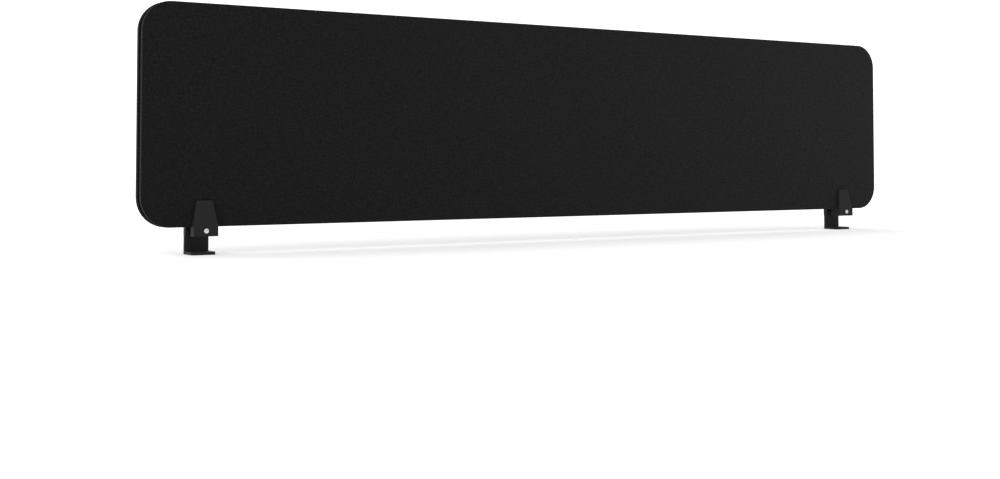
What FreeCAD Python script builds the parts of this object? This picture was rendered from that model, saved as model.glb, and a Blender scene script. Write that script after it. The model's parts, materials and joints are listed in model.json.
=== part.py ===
import FreeCAD, Part
import math
import os

from FreeCAD import Vector

# Desk privacy panel: a zip-covered fabric panel held over the rear edge of a desk top by two
# clamp brackets. Millimetres. X runs along the panel, -Y faces the person at the desk, +Z is up.
# The origin is under the middle of the panel, half-way through its thickness, on the plane that
# the bracket feet stand on.

# ---------------------------------------------------------------- panel
PANEL_LENGTH = 1400.0
PANEL_HEIGHT = 300.0
PANEL_THICKNESS = 21.5
CORNER_RADIUS = 40.0
FABRIC = 0.5
WADDING = 1.25
EDGE_ROUND = 0.9
HALF_THICKNESS = PANEL_THICKNESS / 2
HALF_LENGTH = PANEL_LENGTH / 2
CORE_HALF = HALF_THICKNESS - FABRIC - WADDING

# Wooden frame inside the panel.
RAIL = 50.0
BAY_COUNT = 3
ABSORBER_GAP = 0.5
DOWEL_RADIUS = 4.0
DOWEL_LENGTH = 40.0
DOWEL_PITCH = 24.0
GLUE_GAP = 0.05

# Zip round the edge. Depths are measured inwards from the fabric's outer edge.
ZIP_OPENING_HALF = 4.0
ZIP_SLOT_HALF = 4.4
ZIP_SLOT_DEPTH = 5.0
TAPE_SHELF_HALF = 7.4
TAPE_SHELF_DEPTH = 3.3
TAPE_HALF = 7.0
TAPE_DEPTH = 2.7
TAPE = 0.5
COIL_HALF = 2.8
COIL_DEPTH = 1.4
COIL_SLIT_HALF = 0.3
ZIP_END_X = -510.0
ZIP_END_GAP_HALF = 6.0
STOP_LENGTH = 2.0
STOP_INSET = 1.0
SLIDER_LENGTH = 9.0
SLIDER_HALF = 3.4
SLIDER_PLATE = 1.0
SLIDER_BLADE_HALF = 0.2
SLIDER_BLADE_INSET = 1.0
SLIDER_CLEARANCE = 0.2

# ---------------------------------------------------------------- bracket
BRACKET_INSET = 86.0
BRACKET_HALF = 17.5
REAR_JAW_HALF = 17.0
PANEL_BOTTOM = 38.0
JAW_BOTTOM = 25.0
JAW_TOP = 73.0
JAW_TOP_HALF = 11.3
JAW_BOW_HALF = 14.8
JAW_BOW_HEIGHT = 55.5
JAW_THICKNESS = 9.25
JAW_TIP_THICKNESS = 3.0
JAW_FACE_BOW = 0.4
TAPER_START = 35.0
JAW_CORNER = 2.5
JAW_EDGE = 1.2
PAD = 1.4
PAD_PROUD = 0.4
PAD_HALF = 8.5
PAD_BOTTOM = 41.0
PAD_TOP = 67.0
PAD_CORNER = 2.0

# Toe block of the front jaw, and the ribs of the rear jaw that slide in it.
TOE_HALF = 12.7
TOE_GAP = 1.0
TOE_REAR = 6.8
RIB_INNER = 4.0
RIB_OUTER = 14.5
TONGUE_RIB_OUTER = 12.2
RIB_BOTTOM = 28.6
RIB_TOP = 31.9
RIB_REACH = 4.2
SLIDE_CLEARANCE = 0.2

# Sliding plate that hooks under the desk top.
PLATE = 4.0
PLATE_HALF = 17.0
PLATE_BACK = 18.4
PLATE_GAP = 0.1
FOOT_FRONT = -13.0
FOOT_CORNER = 4.0
PLATE_ROUND = 0.6
SLOT_CLEARANCE = 0.1
TONGUE_HALF = 11.0
TONGUE_TOP = 45.5
TONGUE_STEP = 0.2
PLATE_TRAVEL = 8.0
POCKET_CLEARANCE = 0.15
POCKET_ROOF = 2.0
WOOD_SCREW_RADIUS = 2.25
WOOD_SCREW_HEAD_RADIUS = 4.5
WOOD_SCREW_SPACING = 20.0
WOOD_SCREW_Y = 1.0

# M4 clamp screw and nut.
SCREW_HEIGHT = 32.3
SCREW_RADIUS = 2.0
SCREW_HOLE_RADIUS = 2.2
SCREW_LENGTH = 45.0
SCREW_HEAD_RADIUS = 3.5
SCREW_HEAD = 2.2
SCREW_HEAD_RIM = 1.2
DOME_DROP = 0.3
SCREW_TIP_BEVEL = 0.5
SOCKET_WIDTH = 2.5
SOCKET_DEPTH = 1.0
NUT_WIDTH = 7.0
NUT = 3.2
NUT_CLEARANCE = 0.05
BOSS_RADIUS = 6.5

# Cutting shapes run this far past the faces they cut.
PAST = 1.0

# ---------------------------------------------------------------- places that follow from these
PANEL_TOP = PANEL_BOTTOM + PANEL_HEIGHT
PANEL_MIDDLE = PANEL_BOTTOM + PANEL_HEIGHT / 2
JAW_FRONT = HALF_THICKNESS + JAW_THICKNESS
JAW_INNER = HALF_THICKNESS + PAD_PROUD
BRACKETS = {"left": -HALF_LENGTH + BRACKET_INSET, "right": HALF_LENGTH - BRACKET_INSET}


def box(x0, x1, y0, y1, z0, z1):
    """Upright box between two corners."""
    return Part.makeBox(x1 - x0, y1 - y0, z1 - z0, Vector(x0, y0, z0))


def face_from(edges):
    """Face inside a closed loop of edges."""
    return Part.Face(Part.Wire(edges))


def line(a, b):
    return Part.LineSegment(a, b).toShape()


def arc(a, middle, b):
    return Part.Arc(a, middle, b).toShape()


def hexagon(width, y0, y1, z):
    """Hexagonal prism along Y, width across flats."""
    corner = width / math.sqrt(3)
    points = []
    for step in range(7):
        angle = math.radians(60 * step)
        points.append(Vector(corner * math.cos(angle), y0, z + corner * math.sin(angle)))
    return Part.Face(Part.makePolygon(points)).extrude(Vector(0, y1 - y0, 0))


def rod(radius, y0, y1, z):
    """Round bar along Y."""
    return Part.makeCylinder(radius, y1 - y0, Vector(0, y0, z), Vector(0, 1, 0))


def edges_along(shape, direction, keep):
    """Straight edges of a shape that run in one direction and whose centre passes a test."""
    found = []
    for edge in shape.Edges:
        if isinstance(edge.Curve, Part.Line) and edge.Length > 0.5:
            if edge.Curve.Direction.cross(direction).Length < 1e-6 and keep(edge.CenterOfMass):
                found.append(edge)
    return found


# ================================================================ panel
def slab(inset, y0, y1):
    """Solid with the panel's outline, drawn in by inset, between two depths."""
    radius = CORNER_RADIUS - inset
    x = HALF_LENGTH - inset
    low = PANEL_BOTTOM + inset
    high = PANEL_TOP - inset
    solid = box(-x, x, y0, y1, low, high)
    corners = edges_along(solid, Vector(0, 1, 0), lambda centre: True)
    return solid.makeFillet(radius, corners)


def band(outer_inset, inner_inset, y0, y1):
    """Closed band that runs round the panel's edge."""
    return slab(outer_inset, y0, y1).cut(slab(inner_inset, y0 - PAST, y1 + PAST))


def outline_edges(shape, y):
    """Edges that lie on the plane at depth y."""
    flat = []
    for edge in shape.Edges:
        if abs(edge.BoundBox.YMin - y) < 1e-4 and abs(edge.BoundBox.YMax - y) < 1e-4:
            flat.append(edge)
    return flat


def cover(side):
    """Fabric half: face, rolled edge and the hem that turns down beside the zip."""
    outer = side * HALF_THICKNESS
    inner = side * (HALF_THICKNESS - FABRIC)
    opening = side * ZIP_OPENING_HALF
    hem = side * (ZIP_OPENING_HALF + FABRIC)
    body = slab(0, min(outer, opening), max(outer, opening))
    body = body.makeFillet(EDGE_ROUND, outline_edges(body, outer))
    hollow = slab(FABRIC, min(inner, hem), max(inner, hem))
    past_opening = opening - side * PAST
    through = slab(TAPE_DEPTH, min(inner, past_opening), max(inner, past_opening))
    return body.cut(hollow.fuse(through))


def wadding(side):
    near = side * CORE_HALF
    far = side * (HALF_THICKNESS - FABRIC)
    return slab(FABRIC + WADDING, min(near, far), max(near, far))


def core_blank():
    """Wooden slab with the stepped slot that takes the zip round its edge."""
    blank = slab(FABRIC, -CORE_HALF, CORE_HALF)
    shelf = band(-PAST, TAPE_SHELF_DEPTH, -TAPE_SHELF_HALF, TAPE_SHELF_HALF)
    slot = band(-PAST, ZIP_SLOT_DEPTH, -ZIP_SLOT_HALF, ZIP_SLOT_HALF)
    return blank.cut(shelf.fuse(slot))


def bay_walls():
    """X ranges of the uprights: left stile, mullions, right stile."""
    pitch = (PANEL_LENGTH - RAIL) / BAY_COUNT
    walls = []
    for index in range(BAY_COUNT + 1):
        start = -HALF_LENGTH + index * pitch
        walls.append((start, start + RAIL))
    return walls


def dowel_places():
    """Centres of the dowels, at both ends of every upright."""
    places = []
    for start, end in bay_walls():
        middle = (start + end) / 2
        for height in (PANEL_BOTTOM + RAIL, PANEL_TOP - RAIL):
            for offset in (-DOWEL_PITCH / 2, DOWEL_PITCH / 2):
                places.append(Vector(middle + offset, 0, height))
    return places


def dowels(radius, length):
    return Part.makeCompound([
        Part.makeCylinder(radius, length, place - Vector(0, 0, length / 2)) for place in dowel_places()
    ])


def frame_pieces():
    """Rails and uprights of the wooden frame, drilled for the dowels."""
    blank = core_blank()
    drills = dowels(DOWEL_RADIUS + GLUE_GAP, DOWEL_LENGTH)
    deep = HALF_THICKNESS
    low = PANEL_BOTTOM + RAIL
    high = PANEL_TOP - RAIL
    pieces = {
        "core_bottom_rail": box(-HALF_LENGTH, HALF_LENGTH, -deep, deep, PANEL_BOTTOM, low),
        "core_top_rail": box(-HALF_LENGTH, HALF_LENGTH, -deep, deep, high, PANEL_TOP),
    }
    uprights = [box(start, end, -deep, deep, low, high) for start, end in bay_walls()]
    pieces["core_left_stile"] = uprights[0]
    pieces["core_right_stile"] = uprights[-1]
    made = {name: blank.common(region).cut(drills) for name, region in pieces.items()}
    mullions = [blank.common(region).cut(drills) for region in uprights[1:-1]]
    made["core_mullions"] = Part.makeCompound(mullions)
    made["core_dowels"] = dowels(DOWEL_RADIUS, DOWEL_LENGTH - 2 * ABSORBER_GAP)
    return made


def absorbers():
    """Sound-absorbing boards that fill the bays of the frame."""
    boards = []
    walls = bay_walls()
    for left, right in zip(walls, walls[1:]):
        boards.append(box(
            left[1] + ABSORBER_GAP, right[0] - ABSORBER_GAP,
            -CORE_HALF, CORE_HALF,
            PANEL_BOTTOM + RAIL + ABSORBER_GAP, PANEL_TOP - RAIL - ABSORBER_GAP,
        ))
    return Part.makeCompound(boards)


# ---------------------------------------------------------------- zip
def zip_gap():
    """Space between the two ends of the zip, on the bottom edge."""
    return box(
        ZIP_END_X - ZIP_END_GAP_HALF, ZIP_END_X + ZIP_END_GAP_HALF,
        -HALF_THICKNESS, HALF_THICKNESS,
        PANEL_BOTTOM, PANEL_BOTTOM + ZIP_SLOT_DEPTH,
    )


def zip_tape(side):
    near = side * COIL_SLIT_HALF
    far = side * TAPE_HALF
    tape = band(TAPE_DEPTH, TAPE_DEPTH + TAPE, min(near, far), max(near, far))
    return tape.cut(zip_gap())


def zip_coil(side):
    near = side * COIL_SLIT_HALF
    far = side * COIL_HALF
    coil = band(COIL_DEPTH, TAPE_DEPTH, min(near, far), max(near, far))
    return coil.cut(zip_gap())


def zip_stops():
    """Clips just inside the zip's two ends."""
    stops = []
    for direction in (-1, 1):
        outer = ZIP_END_X + direction * (ZIP_END_GAP_HALF - STOP_INSET)
        inner = outer - direction * STOP_LENGTH
        stops.append(box(
            min(outer, inner), max(outer, inner), -COIL_HALF, COIL_HALF,
            PANEL_BOTTOM + COIL_DEPTH, PANEL_BOTTOM + TAPE_DEPTH + TAPE,
        ))
    return Part.makeCompound(stops)


def slider_start():
    """X of the slider's centre when the zip is closed."""
    return ZIP_END_X + ZIP_END_GAP_HALF + SLIDER_LENGTH / 2 + SLIDE_CLEARANCE


def zip_slider():
    """Slider: an outer plate, an inner plate and the thin blade between the two chains."""
    middle = slider_start()
    x0 = middle - SLIDER_LENGTH / 2
    x1 = middle + SLIDER_LENGTH / 2
    outer_top = PANEL_BOTTOM + COIL_DEPTH - SLIDER_CLEARANCE
    inner_bottom = PANEL_BOTTOM + TAPE_DEPTH + TAPE + SLIDER_CLEARANCE
    outer = box(x0, x1, -SLIDER_HALF, SLIDER_HALF, outer_top - SLIDER_PLATE, outer_top)
    inner = box(x0, x1, -SLIDER_HALF, SLIDER_HALF, inner_bottom, inner_bottom + SLIDER_PLATE)
    corners = edges_along(outer, Vector(0, 0, 1), lambda centre: True)
    outer = outer.makeFillet(SLIDER_HALF / 2, corners)
    blade = box(
        x0 + SLIDER_BLADE_INSET, x1 - SLIDER_BLADE_INSET,
        -SLIDER_BLADE_HALF, SLIDER_BLADE_HALF, outer_top, inner_bottom,
    )
    return outer.fuse([inner, blade]).removeSplitter()


# ================================================================ bracket
def jaw_outline(foot_half):
    """Jaw seen from the front: straight at the foot, then gently bowed in to a narrow top."""
    foot = Vector(foot_half, 0, JAW_BOTTOM)
    shoulder = Vector(foot_half, 0, PANEL_BOTTOM)
    bow = Vector(JAW_BOW_HALF, 0, JAW_BOW_HEIGHT)
    tip = Vector(JAW_TOP_HALF, 0, JAW_TOP)

    def mirrored(point):
        return Vector(-point.x, point.y, point.z)

    return face_from([
        line(foot, shoulder),
        arc(shoulder, bow, tip),
        line(tip, mirrored(tip)),
        arc(mirrored(tip), mirrored(bow), mirrored(shoulder)),
        line(mirrored(shoulder), mirrored(foot)),
        line(mirrored(foot), foot),
    ])


def jaw_blank(taper_start, foot_half):
    """Front jaw blank on the -Y side; thickness is full below taper_start and thin at the top."""
    tip_y = -(HALF_THICKNESS + JAW_TIP_THICKNESS)
    mid = Vector(0, (-JAW_FRONT + tip_y) / 2 - JAW_FACE_BOW, (taper_start + JAW_TOP) / 2)
    low_inner = Vector(0, -JAW_INNER, JAW_BOTTOM)
    low_outer = Vector(0, -JAW_FRONT, JAW_BOTTOM)
    start = Vector(0, -JAW_FRONT, taper_start)
    tip = Vector(0, tip_y, JAW_TOP)
    high_inner = Vector(0, -JAW_INNER, JAW_TOP)
    profile = face_from([
        line(low_inner, low_outer),
        line(low_outer, start),
        arc(start, mid, tip),
        line(tip, high_inner),
        line(high_inner, low_inner),
    ])
    profile.translate(Vector(-BRACKET_HALF, 0, 0))
    side_solid = profile.extrude(Vector(2 * BRACKET_HALF, 0, 0))
    front = jaw_outline(foot_half)
    front.translate(Vector(0, -JAW_FRONT - PAST, 0))
    front_solid = front.extrude(Vector(0, JAW_FRONT, 0))
    corners = edges_along(
        front_solid, Vector(0, 1, 0),
        lambda centre: centre.z > JAW_TOP - JAW_CORNER,
    )
    front_solid = front_solid.makeFillet(JAW_CORNER, corners)
    jaw = front_solid.common(side_solid).removeSplitter()
    return soften_front(jaw)


def soften_front(jaw):
    """Round the upright edges where a jaw's outer face meets its sides and top corners."""
    chosen = []
    for edge in jaw.Edges:
        outside = edge.CenterOfMass.y < -JAW_INNER - JAW_EDGE
        upright = edge.BoundBox.ZLength > JAW_EDGE
        if outside and upright:
            chosen.append(edge)
    return jaw.makeFillet(JAW_EDGE, chosen)


def pad_shape(grow=0.0):
    """Rubber pad on the inner face of the front jaw."""
    pad = box(
        -PAD_HALF, PAD_HALF, -HALF_THICKNESS - PAD, -HALF_THICKNESS + grow, PAD_BOTTOM, PAD_TOP,
    )
    corners = edges_along(pad, Vector(0, 1, 0), lambda centre: True)
    return pad.makeFillet(PAD_CORNER, corners)


def front_jaw():
    jaw = jaw_blank(TAPER_START, BRACKET_HALF)
    toe = box(
        -TOE_HALF, TOE_HALF, -JAW_INNER - PAST, TOE_REAR, JAW_BOTTOM, PANEL_BOTTOM - TOE_GAP,
    )
    rear_corners = edges_along(toe, Vector(0, 0, 1), lambda centre: centre.y > 0)
    toe = toe.makeFillet(JAW_EDGE / 2, rear_corners)
    groove = box(
        -BRACKET_HALF, BRACKET_HALF,
        TOE_REAR - RIB_REACH - 2 * SLIDE_CLEARANCE, TOE_REAR + PAST,
        RIB_BOTTOM - SLIDE_CLEARANCE, RIB_TOP + SLIDE_CLEARANCE,
    )
    hole = rod(SCREW_HOLE_RADIUS, -JAW_FRONT - PAST, TOE_REAR + PAST, SCREW_HEIGHT)
    return jaw.fuse(toe).cut([groove, hole, pad_shape(grow=PAST)]).removeSplitter()


def rear_jaw():
    """Rear jaw: as wide as the desk plate, with guide ribs, a pocket for the plate and a nut boss."""
    jaw = jaw_blank(TONGUE_TOP + POCKET_ROOF, REAR_JAW_HALF).cut(pad_shape(grow=PAST))
    jaw = jaw.mirror(Vector(0, 0, 0), Vector(0, 1, 0))
    pieces = []
    for side in (-1, 1):
        shown = sorted((side * RIB_INNER, side * RIB_OUTER))
        sliding = sorted((side * RIB_INNER, side * TONGUE_RIB_OUTER))
        pieces.append(box(
            shown[0], shown[1], TOE_REAR + SLIDE_CLEARANCE, JAW_INNER + PAST, RIB_BOTTOM, RIB_TOP,
        ))
        pieces.append(box(
            sliding[0], sliding[1], TOE_REAR - RIB_REACH, JAW_INNER + PAST, RIB_BOTTOM, RIB_TOP,
        ))
    boss = rod(BOSS_RADIUS, JAW_FRONT - PAST, JAW_FRONT + NUT, SCREW_HEIGHT)
    jaw = jaw.fuse(pieces + [boss])
    pocket = box(
        -TONGUE_HALF - POCKET_CLEARANCE, TONGUE_HALF + POCKET_CLEARANCE,
        PLATE_BACK - PLATE + TONGUE_STEP - POCKET_CLEARANCE, PLATE_BACK + POCKET_CLEARANCE,
        JAW_BOTTOM - PAST, TONGUE_TOP + 2 * POCKET_CLEARANCE,
    )
    outside = JAW_FRONT + NUT + PAST
    hole = rod(SCREW_HOLE_RADIUS, 0, outside, SCREW_HEIGHT)
    nut_pocket = hexagon(NUT_WIDTH + 2 * NUT_CLEARANCE, JAW_FRONT, outside, SCREW_HEIGHT)
    return jaw.cut([pocket, hole, nut_pocket]).removeSplitter()


def desk_plate():
    """Upright plate with the foot that goes under the desk top, and a thinner tongue above it."""
    low = box(-PLATE_HALF, PLATE_HALF, PLATE_BACK - PLATE, PLATE_BACK, 0, JAW_BOTTOM - PLATE_GAP)
    foot = box(-PLATE_HALF, PLATE_HALF, FOOT_FRONT, PLATE_BACK, 0, PLATE)
    front_corners = edges_along(foot, Vector(0, 0, 1), lambda centre: centre.y < 0)
    foot = foot.makeFillet(FOOT_CORNER, front_corners)
    angle = low.fuse(foot).removeSplitter()
    heel = edges_along(
        angle, Vector(1, 0, 0),
        lambda centre: centre.y > PLATE_BACK - PLATE_GAP and centre.z < PLATE_GAP,
    )
    angle = angle.makeFillet(PLATE_ROUND, heel)
    tongue = box(
        -TONGUE_HALF, TONGUE_HALF, PLATE_BACK - PLATE + TONGUE_STEP, PLATE_BACK, PLATE, TONGUE_TOP,
    )
    tongue = tongue.makeFillet(
        JAW_CORNER, edges_along(tongue, Vector(0, 1, 0), lambda centre: centre.z > JAW_BOTTOM)
    )
    slot_radius = SCREW_HOLE_RADIUS + SLOT_CLEARANCE
    slot_near = PLATE_BACK - PLATE - PAST
    slot_far = PLATE_BACK + PAST
    slot_ends = [
        rod(slot_radius, slot_near, slot_far, SCREW_HEIGHT + lift) for lift in (0, PLATE_TRAVEL)
    ]
    slot = box(
        -slot_radius, slot_radius, slot_near, slot_far, SCREW_HEIGHT, SCREW_HEIGHT + PLATE_TRAVEL,
    )
    holes = []
    countersink = WOOD_SCREW_HEAD_RADIUS - WOOD_SCREW_RADIUS
    for side in (-1, 1):
        centre = Vector(side * WOOD_SCREW_SPACING / 2, WOOD_SCREW_Y, 0)
        holes.append(Part.makeCylinder(WOOD_SCREW_RADIUS, 2 * PLATE, centre))
        holes.append(Part.makeCone(WOOD_SCREW_HEAD_RADIUS, WOOD_SCREW_RADIUS, countersink, centre))
    return angle.fuse(tongue).cut(slot_ends + [slot] + holes).removeSplitter()


def clamp_screw():
    """Domed head with a shallow hexagon socket, and a plain shank at the thread's outer size."""
    seat = -JAW_FRONT
    face = seat - SCREW_HEAD
    rim = seat - SCREW_HEAD_RIM
    tip = seat + SCREW_LENGTH
    centre = Vector(0, face, 0)
    flat_end = Vector(SOCKET_WIDTH, face, 0)
    dome = Vector((SOCKET_WIDTH + SCREW_HEAD_RADIUS) / 2, face + DOME_DROP, 0)
    rim_top = Vector(SCREW_HEAD_RADIUS, rim, 0)
    rim_foot = Vector(SCREW_HEAD_RADIUS, seat, 0)
    shank_top = Vector(SCREW_RADIUS, seat, 0)
    shank_end = Vector(SCREW_RADIUS, tip - SCREW_TIP_BEVEL, 0)
    tip_edge = Vector(SCREW_RADIUS - SCREW_TIP_BEVEL, tip, 0)
    tip_centre = Vector(0, tip, 0)
    half = face_from([
        line(centre, flat_end),
        arc(flat_end, dome, rim_top),
        line(rim_top, rim_foot),
        line(rim_foot, shank_top),
        line(shank_top, shank_end),
        line(shank_end, tip_edge),
        line(tip_edge, tip_centre),
        line(tip_centre, centre),
    ])
    turned = half.revolve(Vector(0, 0, 0), Vector(0, 1, 0), 360)
    screw = Part.Solid(Part.Shell(turned.Faces))
    screw.translate(Vector(0, 0, SCREW_HEIGHT))
    return screw.cut(hexagon(SOCKET_WIDTH, face - PAST, face + SOCKET_DEPTH, SCREW_HEIGHT))


def clamp_nut():
    body = hexagon(NUT_WIDTH, JAW_FRONT, JAW_FRONT + NUT, SCREW_HEIGHT)
    bore = rod(SCREW_RADIUS + NUT_CLEARANCE, JAW_FRONT - PAST, JAW_FRONT + NUT + PAST, SCREW_HEIGHT)
    return body.cut(bore)


def bracket_pieces():
    front_pad = pad_shape()
    return {
        "front_jaw": front_jaw(),
        "rear_jaw": rear_jaw(),
        "desk_plate": desk_plate(),
        "front_pad": front_pad,
        "rear_pad": front_pad.mirror(Vector(0, 0, 0), Vector(0, 1, 0)),
        "clamp_screw": clamp_screw(),
        "clamp_nut": clamp_nut(),
    }


# ================================================================ everything
def build():
    nodes = frame_pieces()
    nodes["absorber_boards"] = absorbers()
    nodes["front_wadding"] = wadding(-1)
    nodes["rear_wadding"] = wadding(1)
    nodes["front_cover"] = cover(-1)
    nodes["rear_cover"] = cover(1)
    nodes["front_zip_tape"] = zip_tape(-1)
    nodes["rear_zip_tape"] = zip_tape(1)
    nodes["front_zip_coil"] = zip_coil(-1)
    nodes["rear_zip_coil"] = zip_coil(1)
    nodes["zip_stops"] = zip_stops()
    nodes["zip_slider"] = zip_slider()
    for name, shape in bracket_pieces().items():
        for side, x in BRACKETS.items():
            placed = shape.copy()
            placed.translate(Vector(x, 0, 0))
            nodes[side + "_" + name] = placed
    return nodes


os.makedirs("parts", exist_ok=True)
for node, solid in build().items():
    solid.exportStep("parts/" + node + ".step")
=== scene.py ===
"""Looks of the desk privacy panel: fabric cover, zip, brackets, screws and a white studio.

Metres throughout. X runs along the panel, -Y faces the person at the desk, +Z is up.
"""

import json
import math

import bpy
import numpy as np
from mathutils import Matrix, Vector

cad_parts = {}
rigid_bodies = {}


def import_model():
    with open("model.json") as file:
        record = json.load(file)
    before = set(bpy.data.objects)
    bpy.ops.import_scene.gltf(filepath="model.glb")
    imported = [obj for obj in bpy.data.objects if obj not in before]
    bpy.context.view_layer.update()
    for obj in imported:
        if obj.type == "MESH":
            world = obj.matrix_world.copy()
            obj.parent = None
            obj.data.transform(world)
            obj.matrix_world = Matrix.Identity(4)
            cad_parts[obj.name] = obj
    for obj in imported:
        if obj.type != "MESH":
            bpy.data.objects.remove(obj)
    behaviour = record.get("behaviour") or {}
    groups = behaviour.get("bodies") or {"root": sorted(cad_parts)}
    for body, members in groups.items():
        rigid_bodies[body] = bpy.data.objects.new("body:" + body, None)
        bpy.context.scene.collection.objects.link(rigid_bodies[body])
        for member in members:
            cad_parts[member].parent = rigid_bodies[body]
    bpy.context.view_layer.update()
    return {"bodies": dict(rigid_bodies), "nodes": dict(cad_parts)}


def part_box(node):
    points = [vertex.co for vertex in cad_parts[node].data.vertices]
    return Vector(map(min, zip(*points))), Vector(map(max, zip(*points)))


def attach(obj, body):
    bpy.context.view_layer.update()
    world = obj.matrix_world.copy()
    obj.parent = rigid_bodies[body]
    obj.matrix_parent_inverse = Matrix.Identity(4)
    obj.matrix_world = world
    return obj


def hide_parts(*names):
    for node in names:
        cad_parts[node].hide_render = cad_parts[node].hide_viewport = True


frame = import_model()

MM = 0.001
SIDES = ("left", "right")

# ---------------------------------------------------------------- sizes taken from the frame
cover_low, cover_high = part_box("front_cover")
HALF_LENGTH = cover_high.x
PANEL_BOTTOM = cover_low.z
PANEL_TOP = cover_high.z
HALF_THICKNESS = -cover_low.y
ZIP_OPENING_HALF = -cover_high.y

coil_low, coil_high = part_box("front_zip_coil")
COIL_INSET = coil_low.z - PANEL_BOTTOM
COIL_OUTER = -coil_low.y
COIL_INNER = -coil_high.y

tape_low, tape_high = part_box("front_zip_tape")
TAPE_INSET = tape_low.z - PANEL_BOTTOM
TAPE_OUTER = -tape_low.y

stops_low, stops_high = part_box("zip_stops")
ZIP_END_X = (stops_low.x + stops_high.x) / 2
ZIP_END_HALF = (stops_high.x - stops_low.x) / 2 + 1.0 * MM

# ---------------------------------------------------------------- sizes of its own
CORNER_RADIUS = 40 * MM
FABRIC = 0.45 * MM
COVER_PROUD = 0.5 * MM
ROLL_RADIUS = 0.8 * MM
FOLD_RADIUS = 0.5 * MM
HEM_DEPTH = 2.5 * MM
CROWN = 0.6 * MM
CELL = 6 * MM
SHEET_CELL = 15 * MM
SHEET_MARGIN = 2 * MM
SWELL_FRAMES = 20
CORNER_STEPS = 12


# ================================================================ meshes
def link(name, mesh):
    """Object with this mesh, put in the scene."""
    piece = bpy.data.objects.new(name, mesh)
    bpy.context.scene.collection.objects.link(piece)
    return piece


def build_piece(name, points, faces, material, smooth=True):
    """Mesh object from points and faces, in one material."""
    mesh = bpy.data.meshes.new(name)
    mesh.from_pydata([tuple(point) for point in points], [], faces)
    mesh.polygons.foreach_set("use_smooth", [smooth] * len(mesh.polygons))
    mesh.materials.append(material)
    mesh.update()
    return link(name, mesh)


def place(piece, body, slot, *nodes):
    """Rides a finished piece on its body, in place of the CAD nodes that it stands for."""
    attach(piece, body)
    if nodes:
        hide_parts(*nodes)


def apply_modifiers(piece):
    """Bakes the piece's modifiers into its mesh."""
    depsgraph = bpy.context.evaluated_depsgraph_get()
    depsgraph.update()
    baked = bpy.data.meshes.new_from_object(piece.evaluated_get(depsgraph))
    piece.modifiers.clear()
    piece.data = baked


def ring_faces(rings, size, close_rings=False, cap_start=False, cap_end=False, first=0):
    """Quads between successive rings of points, each ring closed on itself."""
    faces = []
    last = rings if close_rings else rings - 1
    for ring in range(last):
        a = first + ring * size
        b = first + ((ring + 1) % rings) * size
        for step in range(size):
            after = (step + 1) % size
            faces.append((a + step, a + after, b + after, b + step))
    if cap_start:
        faces.append(tuple(first + step for step in reversed(range(size))))
    if cap_end:
        start = first + (rings - 1) * size
        faces.append(tuple(start + step for step in range(size)))
    return faces


def grid_faces(wide, tall):
    """Quads of a flat grid of points, laid out row by row."""
    faces = []
    for row in range(tall - 1):
        for column in range(wide - 1):
            a = row * wide + column
            faces.append((a, a + 1, a + wide + 1, a + wide))
    return faces


def turned_over(faces):
    """The same faces, facing the other way."""
    return [tuple(reversed(face)) for face in faces]


def round_edges(piece, width):
    """Adds a bevel along the piece's sharp edges."""
    rounding = piece.modifiers.new("edges", "BEVEL")
    rounding.width = width
    rounding.segments = 2
    rounding.limit_method = "ANGLE"
    rounding.angle_limit = math.radians(60)


def set_unrolled(piece, coordinates):
    """Stores where each point lies on the flat cloth, as a UV map in metres."""
    mesh = piece.data
    layer = mesh.uv_layers.new(name="cloth")
    corners = np.zeros(len(mesh.loops), np.int32)
    mesh.loops.foreach_get("vertex_index", corners)
    flat = np.asarray(coordinates, np.float32)[corners]
    layer.data.foreach_set("uv", flat.ravel())


# ================================================================ outline of the panel
def spread(start, end, cell):
    """Evenly spaced values from start to end, about one cell apart."""
    steps = max(1, round(abs(end - start) / cell))
    return [start + (end - start) * step / steps for step in range(steps + 1)]


def outline(inset, cell=CELL, corner_steps=CORNER_STEPS):
    """Points round the panel's outline, drawn in by inset, and their outward directions."""
    along = HALF_LENGTH - CORNER_RADIUS
    low = PANEL_BOTTOM + CORNER_RADIUS
    high = PANEL_TOP - CORNER_RADIUS
    radius = CORNER_RADIUS - inset
    sides = [
        ((-along, low), (along, low), -90),
        ((along, low), (along, high), 0),
        ((along, high), (-along, high), 90),
        ((-along, high), (-along, low), 180),
    ]
    points = []
    outward = []
    for start, end, facing in sides:
        direction = Vector((math.cos(math.radians(facing)), math.sin(math.radians(facing))))
        length = (Vector(end) - Vector(start)).length
        for distance in spread(0, length, cell):
            place_on = Vector(start).lerp(Vector(end), distance / length)
            points.append(place_on + direction * radius)
            outward.append(direction)
        for step in range(1, corner_steps):
            angle = math.radians(facing + 90 * step / corner_steps)
            direction = Vector((math.cos(angle), math.sin(angle)))
            points.append(Vector(end) + direction * radius)
            outward.append(direction)
    return np.array(points), np.array(outward)


def panel_points(rings, cell, corner_steps):
    """3-D points of rings, each given as inset and depth."""
    points = []
    for inset, depth in rings:
        flat, _ = outline(inset, cell, corner_steps)
        for x, z in flat:
            points.append((x, depth, z))
    return points


def closed_outline(inset):
    """Fine outline that ends where it starts, its outward directions and the distance travelled."""
    points, outward = outline(inset, 1.5 * MM, 40)
    closed = np.vstack([points, points[:1]])
    normals = np.vstack([outward, outward[:1]])
    travelled = np.concatenate([[0], np.cumsum(np.linalg.norm(np.diff(closed, axis=0), axis=1))])
    return closed, normals, travelled


def spread_angles(count):
    """Evenly spaced angles round a full turn."""
    return [2 * math.pi * step / count for step in range(count)]


def boxy(value, power):
    """Pushes a sine or cosine towards 1 or -1, which squares up the round shape made with it."""
    return math.copysign(abs(value) ** power, value)


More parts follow.
